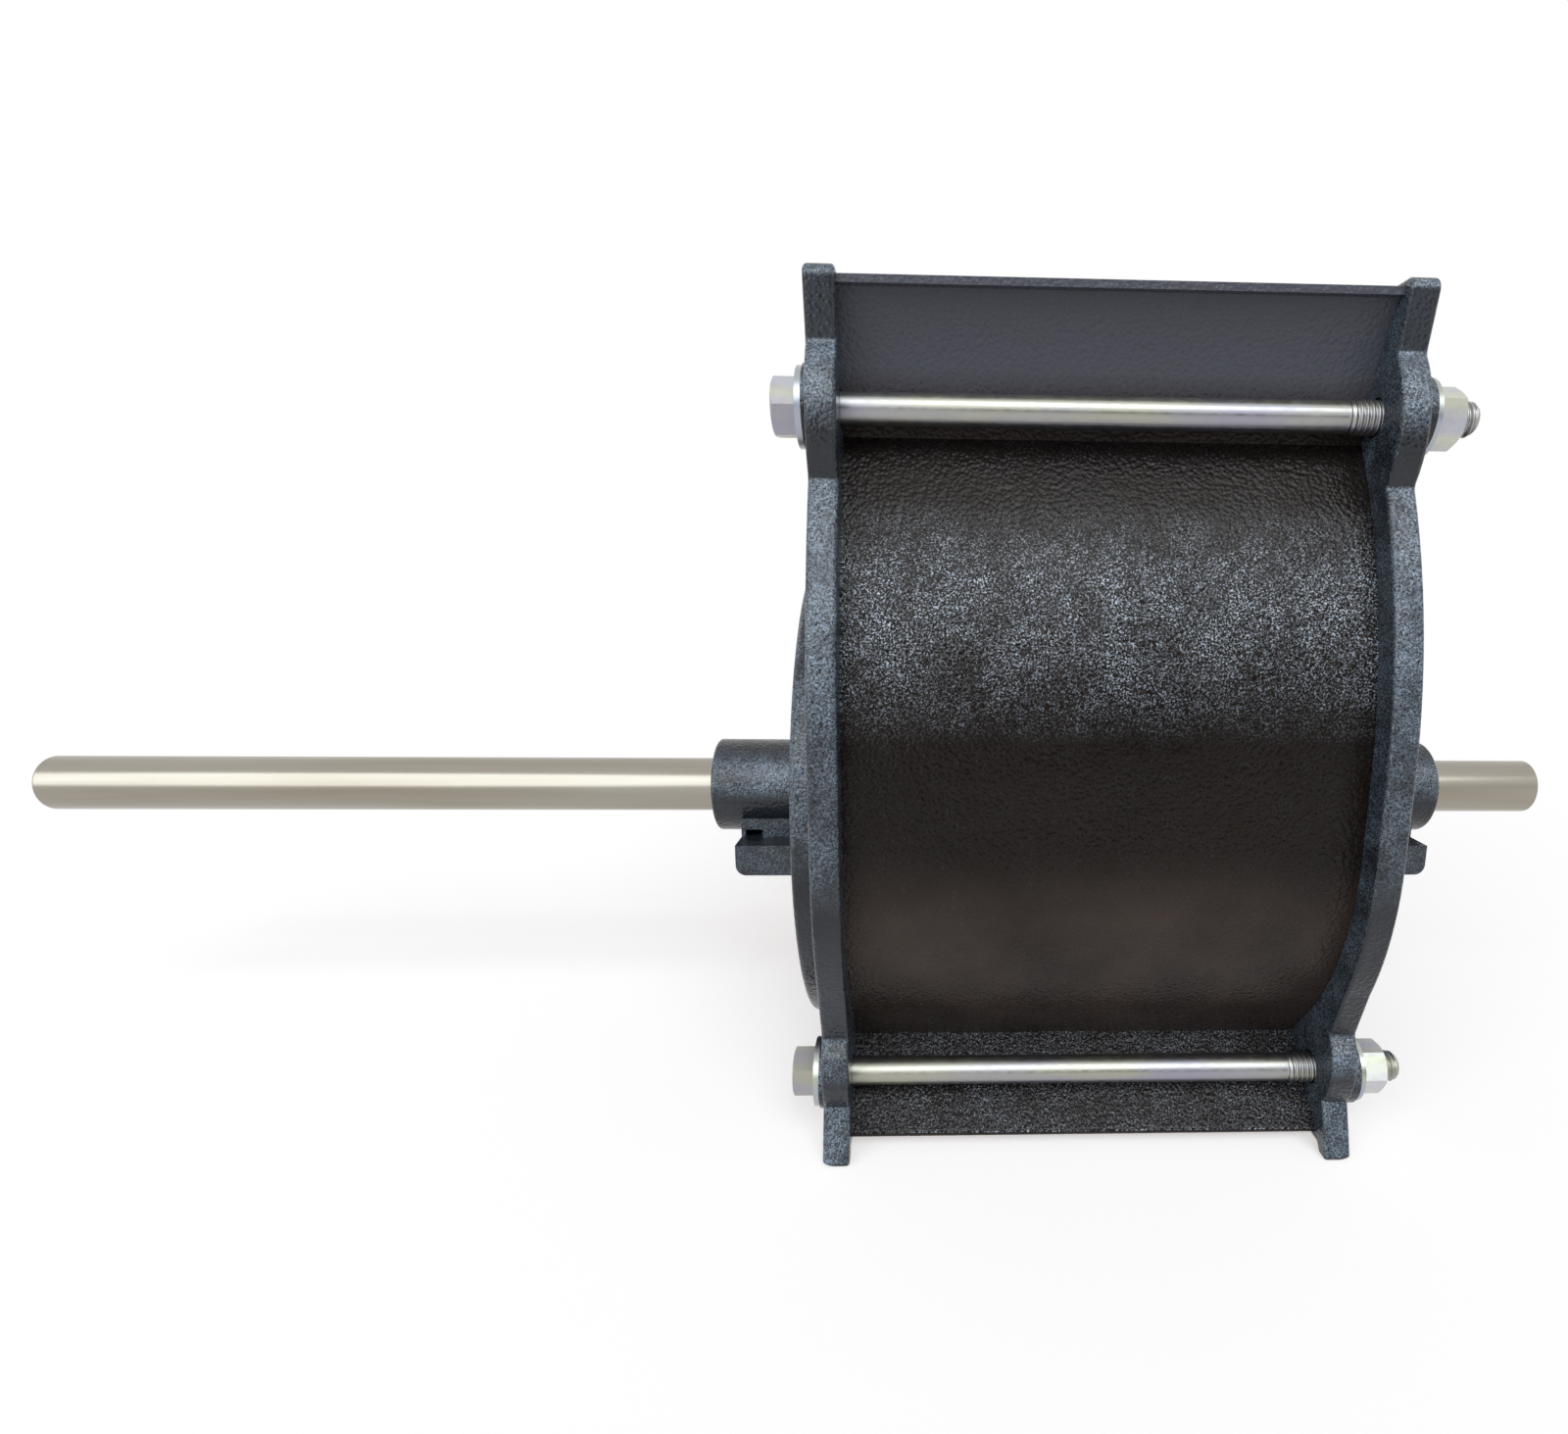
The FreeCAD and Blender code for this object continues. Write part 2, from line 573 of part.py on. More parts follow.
# ------------------------------------------------------------ the knife drum
def knife_angles():
    step = 360.0 / KNIFE_COUNT
    return [KNIFE_FIRST_ANGLE + step * index for index in range(KNIFE_COUNT)]


def turned(shape, degrees):
    """Turn a piece drawn at the rear (+Y) to its place on the drum."""
    copy = shape.copy()
    copy.rotate(CENTRE, X_AXIS, degrees)
    return copy


def screw_positions():
    middle = (SCREW_COUNT - 1) / 2.0
    return [(index - middle) * SCREW_PITCH for index in range(SCREW_COUNT)]


def screw_hole(x, radius, z_from, z_to):
    """Round bar across a knife seat, drawn at the rear of the drum."""
    return Part.makeCylinder(radius, z_to - z_from, FreeCAD.Vector(x, SCREW_R, z_from))


def drum_seat():
    """Cast seat for one knife, drawn at the rear of the drum."""
    seat = box(-CHEEK_BACK, CHEEK_BACK, SEAT_IN_R, DRUM_OUT_R, -SEAT_BACK, SEAT_FRONT)
    return seat.common(cylinder_x(DRUM_OUT_R, -CHEEK_BACK, CHEEK_BACK))


def cheek_screws(grow):
    """Countersunk screws of the right-hand cheek, or with grow their holes."""
    screws = []
    start = CHEEK_FACE - CHEEK_SCREW_LENGTH - grow
    neck = CHEEK_FACE - CHEEK_SCREW_HEAD_DEPTH
    shank_r = CHEEK_SCREW_DIA / 2.0 + grow
    head_r = CHEEK_SCREW_HEAD_DIA / 2.0 + grow
    for index in range(CHEEK_SCREW_COUNT):
        spot = polar(CHEEK_SCREW_R, 360.0 * index / CHEEK_SCREW_COUNT)
        shank = cylinder_x(shank_r, start, CHEEK_FACE, spot.y, spot.z)
        foot = point(spot.y, spot.z, neck)
        head = Part.makeCone(shank_r, head_r, CHEEK_SCREW_HEAD_DEPTH, foot, X_AXIS)
        screws.append(shank.fuse(head))
    return screws


def both_sides(solids):
    return Part.makeCompound(solids + [mirror_x(solid) for solid in solids])


def drum_cheek():
    """Right-hand disc that closes the drum and keeps pulp off the bearing."""
    body = ring_x(CHEEK_R, DRUM_HUB_R + CHEEK_BORE_GAP, CHEEK_BACK, CHEEK_FACE)
    for hole in cheek_screws(SCREW_GAP):
        body = body.cut(hole)
    return body


def drum():
    half = DRUM_HUB_END
    body = ring_x(DRUM_OUT_R, DRUM_IN_R, -CHEEK_BACK, CHEEK_BACK)
    body = body.fuse(cylinder_x(DRUM_HUB_R, -half, half))
    for angle in knife_angles():
        web = box(-CHEEK_BACK, CHEEK_BACK, 0.0, DRUM_IN_R + 1.0, -DRUM_WEB / 2.0, DRUM_WEB / 2.0)
        body = body.fuse([turned(web, angle), turned(drum_seat(), angle)])
    for hole in cheek_screws(SCREW_GAP):
        body = body.cut(hole)
        body = body.cut(mirror_x(hole))
    chips = box(-CHEEK_BACK, CHEEK_BACK, POCKET_FLOOR_R, DRUM_OUT_R + 5.0, 0.0, CHIP_WIDTH)
    for angle in knife_angles():
        body = body.cut(turned(chips, angle))
        for x in screw_positions():
            hole = screw_hole(x, SCREW_DIA / 2.0 + SCREW_GAP, -SCREW_LENGTH, 1.0)
            body = body.cut(turned(hole, angle))
    body = body.cut(cylinder_x(SHAFT_DIA / 2.0 + DRUM_BORE_GAP, -half - 1.0, half + 1.0))
    side = KEY_SIZE / 2.0 + KEY_GAP
    keyway = box(-half - 1.0, half + 1.0, -side, side, 0.0, KEY_TOP + KEY_GAP)
    body = body.cut(keyway)
    for x in (-SET_SCREW_X, SET_SCREW_X):
        foot = FreeCAD.Vector(x, 0, KEY_TOP)
        body = body.cut(Part.makeCylinder(SET_SCREW_DIA / 2.0, DRUM_HUB_R, foot))
        middle = FreeCAD.Vector(x, 0, (DRUM_HUB_R + DRUM_IN_R) / 2.0)
        body = body.cut(Part.makeCylinder(ACCESS_DIA / 2.0, DRUM_OUT_R, middle))
    return body.removeSplitter()


def knife():
    """Toothed knife, drawn at the rear of the drum, flat side on its seat."""
    pitch = 2.0 * KNIFE_HALF / TOOTH_COUNT
    land = pitch * TOOTH_LAND / 2.0
    root = KNIFE_TIP_R - TOOTH_DEPTH
    corners = [FreeCAD.Vector(-KNIFE_HALF, KNIFE_FOOT_R, 0)]
    for index in range(TOOTH_COUNT):
        middle = -KNIFE_HALF + pitch * (index + 0.5)
        corners.append(FreeCAD.Vector(middle - pitch / 2.0, root, 0))
        corners.append(FreeCAD.Vector(middle - land, KNIFE_TIP_R, 0))
        corners.append(FreeCAD.Vector(middle + land, KNIFE_TIP_R, 0))
    corners.append(FreeCAD.Vector(KNIFE_HALF, root, 0))
    corners.append(FreeCAD.Vector(KNIFE_HALF, KNIFE_FOOT_R, 0))
    corners.append(corners[0])
    blade = Part.Face(Part.makePolygon(corners)).extrude(FreeCAD.Vector(0, 0, KNIFE_THICK))
    for x in screw_positions():
        blade = blade.cut(screw_hole(x, SCREW_DIA / 2.0 + SCREW_GAP, -1.0, KNIFE_THICK + 1.0))
    return blade


def knife_screw(x):
    shank = screw_hole(x, SCREW_DIA / 2.0, KNIFE_THICK - SCREW_LENGTH, KNIFE_THICK)
    head = screw_hole(x, SCREW_HEAD_DIA / 2.0, KNIFE_THICK, KNIFE_THICK + SCREW_HEAD_THICK)
    return shank.fuse(head)


def knife_screws():
    screws = []
    for angle in knife_angles():
        for x in screw_positions():
            screws.append(turned(knife_screw(x), angle))
    return Part.makeCompound(screws)


# ------------------------------------------------------------------ hand-in
def fasteners():
    nodes = {}
    for name, (y, z, head_turn, nut_turn) in BOLT_SPOTS.items():
        nodes["TIE_BOLT_" + name] = tie_bolt(y, z, head_turn)
        nodes["HEAD_WASHER_" + name] = washer(HEAD_FACE, BOSS_FACE_LEFT, y, z)
        nodes["NUT_WASHER_" + name] = washer(BOSS_FACE_RIGHT, NUT_FACE, y, z)
        nodes["TIE_NUT_" + name] = tie_nut(y, z, nut_turn)
    return nodes


def assembly():
    nodes = {
        "END_PLATE_LEFT": end_plate(HUB_REACH_LEFT, LUG_REACH_LEFT, BOSS_RISE_LEFT),
        "END_PLATE_RIGHT": mirror_x(end_plate(HUB_REACH_RIGHT, LUG_REACH_RIGHT, BOSS_RISE_RIGHT)),
        "SHELL_FRONT": shell(True),
        "SHELL_REAR": shell(False),
        "BUSH_LEFT": bush(HUB_REACH_LEFT),
        "BUSH_RIGHT": mirror_x(bush(HUB_REACH_RIGHT)),
        "SHAFT": shaft(),
        "THRUST_WASHER_LEFT": thrust_washer(),
        "THRUST_WASHER_RIGHT": mirror_x(thrust_washer()),
        "DRUM": drum(),
        "DRUM_CHEEK_LEFT": mirror_x(drum_cheek()),
        "DRUM_CHEEK_RIGHT": drum_cheek(),
        "CHEEK_SCREWS": both_sides(cheek_screws(0.0)),
        "DRUM_KEY": key(),
        "DRUM_SET_SCREWS": set_screws(),
        "KNIFE_SCREWS": knife_screws(),
    }
    for index, angle in enumerate(knife_angles()):
        nodes["KNIFE_%d" % (index + 1)] = turned(knife(), angle)
    nodes.update(fasteners())
    return nodes


os.makedirs("parts", exist_ok=True)
for node, shape in assembly().items():
    place(shape).exportStep("parts/%s.step" % node)
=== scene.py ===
"""Looks of the apple scratter's grinding head.

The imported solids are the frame: castings, shaft, bushes, drum and knives keep
their shape and get their finishes here.  The four tie bolts are redrawn with
real threads.  Everything is in metres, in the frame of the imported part.
"""

import json
import math

import bmesh
import bpy
from mathutils import Matrix, Vector

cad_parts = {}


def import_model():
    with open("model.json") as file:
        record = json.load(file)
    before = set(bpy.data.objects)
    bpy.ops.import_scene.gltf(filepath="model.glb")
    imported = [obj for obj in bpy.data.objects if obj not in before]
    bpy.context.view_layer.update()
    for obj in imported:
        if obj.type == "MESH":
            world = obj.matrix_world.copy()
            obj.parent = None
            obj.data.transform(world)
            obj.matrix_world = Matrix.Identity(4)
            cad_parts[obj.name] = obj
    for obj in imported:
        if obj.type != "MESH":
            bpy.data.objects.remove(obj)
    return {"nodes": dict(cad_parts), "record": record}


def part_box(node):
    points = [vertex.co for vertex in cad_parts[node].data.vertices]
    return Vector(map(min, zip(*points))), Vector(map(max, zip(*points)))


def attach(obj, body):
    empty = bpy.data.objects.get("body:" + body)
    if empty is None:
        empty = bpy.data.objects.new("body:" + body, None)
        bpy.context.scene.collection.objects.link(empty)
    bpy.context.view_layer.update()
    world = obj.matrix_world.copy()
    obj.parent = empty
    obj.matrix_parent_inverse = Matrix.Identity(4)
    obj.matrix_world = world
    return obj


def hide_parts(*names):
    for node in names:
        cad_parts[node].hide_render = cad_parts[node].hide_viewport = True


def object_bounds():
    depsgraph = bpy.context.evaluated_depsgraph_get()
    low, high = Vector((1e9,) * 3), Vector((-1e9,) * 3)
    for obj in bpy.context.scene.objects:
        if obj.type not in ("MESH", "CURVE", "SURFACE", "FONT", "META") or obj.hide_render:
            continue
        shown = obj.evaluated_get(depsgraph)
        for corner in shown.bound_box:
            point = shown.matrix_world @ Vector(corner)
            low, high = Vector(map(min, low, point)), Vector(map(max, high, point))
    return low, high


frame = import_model()
CAD_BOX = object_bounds()
NODES = frame["nodes"]

MM = 0.001
TOP_Z = CAD_BOX[1][2]
WHITE = (1.0, 1.0, 1.0)


# ------------------------------------------------------- helpers for looks
class Material:
    """A Principled material and short calls that add nodes to it."""

    def __init__(self, name, **sockets):
        self.material = bpy.data.materials.new(name)
        self.material.use_nodes = True
        self.tree = self.material.node_tree
        self.shader = self.tree.nodes["Principled BSDF"]
        for socket, value in sockets.items():
            self.shader.inputs[socket.replace("_", " ")].default_value = value
        self.place = self.node("ShaderNodeTexCoord").outputs["Object"]

    def node(self, kind, **settings):
        made = self.tree.nodes.new(kind)
        for name, value in settings.items():
            setattr(made, name, value)
        return made

    def link(self, source, target):
        self.tree.links.new(source, target)

    def set(self, socket, value):
        """Let a texture drive a socket of the shader."""
        self.link(value, self.shader.inputs[socket])

    # textures
    def stretched(self, scale):
        """Object coordinates scaled per axis."""
        mapping = self.node("ShaderNodeMapping")
        mapping.inputs["Scale"].default_value = scale
        self.link(self.place, mapping.inputs["Vector"])
        return mapping.outputs["Vector"]

    def noise(self, scale, detail, roughness=0.5, place=None):
        made = self.node("ShaderNodeTexNoise")
        made.inputs["Scale"].default_value = scale
        made.inputs["Detail"].default_value = detail
        made.inputs["Roughness"].default_value = roughness
        self.link(place or self.place, made.inputs["Vector"])
        return made.outputs["Fac"]

    def streaks(self, scale, detail, roughness=0.5):
        """Noise drawn out along the axes whose scale is low."""
        return self.noise(1.0, detail, roughness, self.stretched(scale))

    def grains(self, scale, smoothness):
        """Distance from the middle of rounded grains: inverted, it is their height."""
        made = self.node("ShaderNodeTexVoronoi", feature="SMOOTH_F1")
        made.inputs["Scale"].default_value = scale
        made.inputs["Smoothness"].default_value = smoothness
        self.link(self.place, made.inputs["Vector"])
        return made.outputs["Distance"]

    # places
    def height(self):
        """Height above the floor, because a node's own coordinates are the object's."""
        parts = self.node("ShaderNodeSeparateXYZ")
        self.link(self.place, parts.inputs["Vector"])
        return parts.outputs["Z"]

    def upward(self):
        """How far the surface faces up, from -1 to 1."""
        parts = self.node("ShaderNodeSeparateXYZ")
        self.link(self.node("ShaderNodeTexCoord").outputs["Normal"], parts.inputs["Vector"])
        return parts.outputs["Z"]

    # arithmetic
    def spread(self, value, given, wanted):
        """Map one range, a pair of numbers, to another."""
        made = self.node("ShaderNodeMapRange")
        for name, number in zip(("From Min", "From Max", "To Min", "To Max"), (*given, *wanted)):
            made.inputs[name].default_value = number
        self.link(value, made.inputs["Value"])
        return made.outputs["Result"]

    def blend(self, share, first, second):
        """Colour between two, by a texture; the first may be a socket."""
        made = self.node("ShaderNodeMix", data_type="RGBA")
        if isinstance(first, tuple):
            made.inputs["A"].default_value = (*first, 1.0)
        else:
            self.link(first, made.inputs["A"])
        made.inputs["B"].default_value = (*second, 1.0)
        self.link(share, made.inputs["Factor"])
        return made.outputs["Result"]

    def combined(self, operation, first, second):
        made = self.node("ShaderNodeMath", operation=operation)
        self.link(first, made.inputs[0])
        self.link(second, made.inputs[1])
        return made.outputs["Value"]

    def times(self, first, second):
        return self.combined("MULTIPLY", first, second)

    def higher(self, first, second):
        return self.combined("MAXIMUM", first, second)

    def bump(self, height, strength, distance, normal=None, invert=False):
        made = self.node("ShaderNodeBump", invert=invert)
        made.inputs["Strength"].default_value = strength
        made.inputs["Distance"].default_value = distance
        self.link(height, made.inputs["Height"])
        if normal:
            self.link(normal, made.inputs["Normal"])
        return made.outputs["Normal"]


# ranges for Material.spread
ALL = (0.0, 1.0)
MIDDLE = (0.3, 0.7)                      # where most of a noise's values lie


# -------------------------------------------------------------------- paint
# Of the colours, dark is the coat's shade and light a lighter shade on sides that face down, a painted
# reflection of the floor; the one for the top is a painted sheen on the upper rims, and the pale one is
# painted highlight: specks on sides that face up, which set in between two upward shares of the normal
# (rises) and fade between two others (falls) to a share of themselves (faded), over the noise range that
# is given with them.
PAINTS = {
    "casting_paint": {
        "dark": (0.0065, 0.0045, 0.0036), "light": (0.0500, 0.0345, 0.0285), "painted_top_sheen": (0.088, 0.088, 0.106),
        "painted_sparkle": (0.80, 0.87, 0.98), "sparkle_range": (0.525, 0.625), "rises": (0.05, 0.22), "falls": (0.30, 0.42),
        "faded": 0.04, "sheen": 0.15,
    },
    # painted light: the plates' copy of the paint is lighter and bluer, with wider painted highlight, for
    # the brighter light on their edges and feet
    "plate_paint_painted_light": {
        "dark": (0.0050, 0.0062, 0.0085), "light": (0.0240, 0.0300, 0.0400), "painted_top_sheen": (0.022, 0.027, 0.035),
        "painted_sparkle": (0.42, 0.52, 0.64), "sparkle_range": (0.42, 0.66), "rises": (-0.16, 0.16), "falls": (0.60, 0.90),
        "faded": 0.15, "sheen": 0.42,
    },
}
PAINT_SHEEN_TINT = (1.0, 0.95, 0.91, 1.0)
PAINT_ROUGHNESS = (0.12, 0.28)

# noises: features per metre, detail, roughness
PATCHES = (28.0, 3.0)
CLOUDS = (90.0, 5.0, 0.75)
SPECKS = (1900.0, 3.0, 0.80)
GLOSS_PATCHES = (150.0, 4.0, 0.7)

PATCH_RANGE = (0.35, 0.65)
PATCH_SHARE = (0.35, 1.0)
CLOUD_RANGE = (0.36, 0.63)
CLOUD_SHARE = (0.24, 1.0)
GLOSS_RANGE = (0.38, 0.64)

BELLY_LEAN = (-0.24, -0.02)              # upward shares between which the painted reflection of the floor, the lighter coat on the belly, ends
BELLY_SHARE = (1.0, 0.12)
# height band over which the coat turns to a painted sheen at the top
PAINTED_SHEEN_Z = (TOP_Z - 33.0 * MM, TOP_Z - 21.0 * MM)
LOW_LIP_Z = (30.0 * MM, 34.0 * MM)       # below it the painted highlight keeps at least a share of itself
LOW_LIP_SHARE = (0.35, 0.0)
LEAST_PAINTED_SPARKLE = 0.02

# relief of the sand casting under the paint: strength and height of each layer
SWELL = (60.0, 2.0)
SWELL_BUMP = (0.25, 0.80 * MM)
SAND_GRAINS = 900.0
SAND_SMOOTHNESS = 0.6
SAND_BUMP = (0.75, 0.30 * MM)
FINE_SAND = (2100.0, 2.0, 0.6)
FINE_BUMP = (0.75, 0.08 * MM)


def paint_colour(paint, dark, light, painted_top_sheen, painted_sparkle, sparkle_range, rises, falls, faded):
    """Dark coat, with a painted reflection of the floor that lightens it on the belly, a painted sheen at
    the top, and painted highlight, pale specks, where it leans back.
    """
    up = paint.upward()
    patches = paint.spread(paint.noise(*PATCHES), PATCH_RANGE, PATCH_SHARE)
    # painted reflection of the floor: the coat takes its lighter shade on sides that face down
    belly = paint.spread(up, BELLY_LEAN, BELLY_SHARE)
    coat = paint.blend(paint.times(patches, belly), dark, light)
    # painted sheen: the top of the casting is given a lighter coat
    coat = paint.blend(paint.spread(paint.height(), PAINTED_SHEEN_Z, ALL), coat, painted_top_sheen)
    low_lip = paint.spread(paint.height(), LOW_LIP_Z, LOW_LIP_SHARE)
    upper_end = paint.higher(paint.spread(up, falls, (1.0, faded)), low_lip)
    # painted highlight: pale specks where the surface leans back, and on the low lip
    painted_sparkle_mask = paint.times(paint.spread(up, rises, (LEAST_PAINTED_SPARKLE, 1.0)), upper_end)
    clouds = paint.spread(paint.noise(*CLOUDS), CLOUD_RANGE, CLOUD_SHARE)
    specks = paint.spread(paint.noise(*SPECKS), sparkle_range, ALL)
    return paint.blend(paint.times(specks, paint.times(painted_sparkle_mask, clouds)), coat, painted_sparkle)


def paint_relief(paint):
    """Soft swells with sand grains on them and finer sand on those."""
    swell = paint.bump(paint.noise(*SWELL), *SWELL_BUMP)
    sand = paint.bump(paint.grains(SAND_GRAINS, SAND_SMOOTHNESS), *SAND_BUMP, swell, invert=True)
    return paint.bump(paint.noise(*FINE_SAND), *FINE_BUMP, sand)


def casting_paint(name, sheen, **colours):
    """Black semi-gloss paint over a sand casting."""
    paint = Material(name, Specular_IOR_Level=sheen, Specular_Tint=PAINT_SHEEN_TINT)
    paint.set("Base Color", paint_colour(paint, **colours))
    paint.set("Roughness", paint.spread(paint.noise(*GLOSS_PATCHES), GLOSS_RANGE, PAINT_ROUGHNESS))
    paint.set("Normal", paint_relief(paint))
    return paint.material


# ------------------------------------------------------------------- metals
# streaks: features per metre along each axis, detail, roughness
BAR_BRIGHT = (0.36, 0.335, 0.29)
BAR_STAINED = (0.29, 0.26, 0.205)
BAR_ROUGHNESS = (0.17, 0.27)
BAR_LINES = ((14.0, 2600.0, 2600.0), 4.0, 0.6)
BAR_STAINS = ((9.0, 120.0, 120.0), 3.0)
BAR_STAIN_RANGE = (0.35, 0.75)
BAR_BUMP = (0.25, 0.03 * MM)

ZINCS = {
    "zinc_plate": {"colour": (0.37, 0.38, 0.40), "rough": 0.31},
    "zinc_washer": {"colour": (0.42, 0.47, 0.50), "rough": 0.22},
    "zinc_nut": {"colour": (0.56, 0.59, 0.60), "rough": 0.24},
}
ZINC_STRAW = (1.04, 1.00, 0.80)          # the two tints of the passivation, as shares of the colour
ZINC_MAUVE = (0.90, 0.86, 0.95)
ZINC_TINTS = ((22.0, 130.0, 130.0), 2.0)
ZINC_TINT_RANGE = (0.38, 0.62)
ZINC_MOTTLE = (420.0, 4.0)
ZINC_ROUGHER = 0.12
ZINC_GRAIN = (700.0, 3.0)
ZINC_BUMP = (0.06, 0.05 * MM)

METALS = {
    "bush_bronze": {"colour": (0.62, 0.42, 0.20), "rough": 0.25, "lines": (900.0, 40.0, 40.0)},
    "drum_casting": {"colour": (0.42, 0.42, 0.41), "rough": 0.50, "lines": (700.0, 700.0, 700.0)},
    "key_steel": {"colour": (0.32, 0.32, 0.33), "rough": 0.35, "lines": (60.0, 900.0, 900.0)},
    "stainless": {"colour": (0.40, 0.40, 0.41), "rough": 0.42, "lines": (30.0, 1400.0, 1400.0)},
}
METAL_SHADE = (0.8, 0.8, 0.8)            # of the colour, in the tool marks
METAL_DETAIL = (4.0, 0.6)
METAL_ROUGHER = 0.15
METAL_BUMP = (0.3, 0.06 * MM)


def tinted(colour, shares):
    """A colour with each of its parts times its own share."""
    return tuple(part * share for part, share in zip(colour, shares))


def bar_steel(name):
    """Cold-drawn bar: warm satin steel with fine lines along its length."""
    steel = Material(name, Metallic=1.0)
    lines = steel.streaks(*BAR_LINES)
    stains = steel.spread(steel.streaks(*BAR_STAINS), BAR_STAIN_RANGE, ALL)
    steel.set("Base Color", steel.blend(stains, BAR_BRIGHT, BAR_STAINED))
    steel.set("Roughness", steel.spread(lines, MIDDLE, BAR_ROUGHNESS))
    steel.set("Normal", steel.bump(lines, *BAR_BUMP))
    return steel.material


def zinc_plate(name, colour, rough):
    """Zinc plating with the faint mauve and straw tints of its passivation."""
    zinc = Material(name, Metallic=1.0)
    tints = zinc.spread(zinc.streaks(*ZINC_TINTS), ZINC_TINT_RANGE, ALL)
    zinc.set("Base Color", zinc.blend(tints, tinted(colour, ZINC_MAUVE), tinted(colour, ZINC_STRAW)))
    zinc.set("Roughness", zinc.spread(zinc.noise(*ZINC_MOTTLE), MIDDLE, (rough, rough + ZINC_ROUGHER)))
    zinc.set("Normal", zinc.bump(zinc.noise(*ZINC_GRAIN), *ZINC_BUMP))
    return zinc.material


def worked_metal(name, colour, rough, lines):
    """Turned, ground or cast metal; lines are its tool marks per metre along each axis."""
    metal = Material(name, Metallic=1.0)
    marks = metal.streaks(lines, *METAL_DETAIL)
    share = metal.spread(marks, MIDDLE, ALL)
    metal.set("Base Color", metal.blend(share, tinted(colour, METAL_SHADE), colour))
    metal.set("Roughness", metal.spread(marks, MIDDLE, (rough, rough + METAL_ROUGHER)))
    metal.set("Normal", metal.bump(marks, *METAL_BUMP))
    return metal.material


# ----------------------------------------------------- finishes of the nodes
MATERIALS = {name: casting_paint(name, **look) for name, look in PAINTS.items()}
MATERIALS["shaft_steel"] = bar_steel("shaft_steel")
MATERIALS.update({name: worked_metal(name, **look) for name, look in METALS.items()})
MATERIALS.update({name: zinc_plate(name, **look) for name, look in ZINCS.items()})

# nodes whose finish is a variant of their slot's, by the start of their name
# the plates' variant carries painted light: a lighter, bluer coat
VARIANTS = {"END_PLATE": "plate_paint_painted_light", "TIE_NUT": "zinc_nut"}


def finish_nodes():
    """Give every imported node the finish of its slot, or its own variant of it."""
    for row in frame["record"]["subparts"]:
        look = row["material_slot"]
        for start, variant in VARIANTS.items():
            if row["node"].startswith(start):
                look = variant
        mesh = NODES[row["node"]].data
        mesh.materials.clear()
        mesh.materials.append(MATERIALS[look])


# ---------------------------------------------------------------- tie bolts
SPOTS = ("TOP_FRONT", "TOP_REAR", "LOW_FRONT", "LOW_REAR")
THREAD_PITCH = 1.5875 * MM               # 3/8-16
THREAD_LENGTH = 35.5 * MM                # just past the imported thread, onto the bare shank
THREAD_CREST_R = 4.70 * MM
THREAD_ROOT_R = 3.95 * MM
THREAD_SHANK_R = 4.275 * MM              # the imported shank's
THREAD_ROOT_FLAT = 0.12                  # shares of half a pitch: the flat root, then the flank
THREAD_FLANK = 0.76
THREAD_RUN_IN = 2.0 * THREAD_PITCH       # along it the thread grows out of the shank
THREAD_TIP_TAPER = 1.4 * MM
THREAD_TIP_DROP = 1.1 * MM
THREAD_STEPS_ROUND = 48
THREAD_STEPS_PER_PITCH = 10
RIM_MERGE = 0.001 * MM


def thread_radius(along, turn, length):
    """Radius of the threaded end at a place along it and a turn of 0 to 1."""
    phase = (along / THREAD_PITCH - turn) % 1.0
    ridge = 1.0 - abs(2.0 * phase - 1.0)
    rise = min(1.0, max(0.0, (ridge - THREAD_ROOT_FLAT) / THREAD_FLANK))
    radius = THREAD_ROOT_R + (THREAD_CREST_R - THREAD_ROOT_R) * rise
    radius = THREAD_SHANK_R + (radius - THREAD_SHANK_R) * min(1.0, along / THREAD_RUN_IN)
    to_tip = (length - along) / THREAD_TIP_TAPER
    if to_tip < 1.0:
        radius = min(radius, THREAD_CREST_R - (1.0 - to_tip) * THREAD_TIP_DROP)
    return radius


def thread_ring(mesh, along, x_start, length, y, z):
    """One ring of corners round the threaded end."""
    ring = []
    for step in range(THREAD_STEPS_ROUND):
        turn = step / THREAD_STEPS_ROUND
        angle = 2.0 * math.pi * turn
        radius = thread_radius(along, turn, length)
        corner = (x_start + along, y + radius * math.cos(angle), z + radius * math.sin(angle))
        ring.append(mesh.verts.new(corner))
    return ring


def thread_mesh(name, x_start, x_end, y, z):
    """Threaded end of a bolt along +X, closed at both ends."""
    length = x_end - x_start
    rows = int(round(length / THREAD_PITCH * THREAD_STEPS_PER_PITCH))
    mesh = bmesh.new()
    rings = [thread_ring(mesh, length * row / rows, x_start, length, y, z) for row in range(rows + 1)]
    for near, far in zip(rings, rings[1:]):
        for step in range(THREAD_STEPS_ROUND):
            after = (step + 1) % THREAD_STEPS_ROUND
            mesh.faces.new((near[step], near[after], far[after], far[step]))
    mesh.faces.new(rings[-1])
    mesh.faces.new(list(reversed(rings[0])))
    bmesh.ops.recalc_face_normals(mesh, faces=mesh.faces)
    data = bpy.data.meshes.new(name)
    mesh.to_mesh(data)
    mesh.free()
    data.shade_smooth()
    return data


def rim_of(mesh, x):
    """Corners of a mesh that lie in the plane at x."""
    return [corner for corner in mesh.verts if abs(corner.co.x - x) < RIM_MERGE]


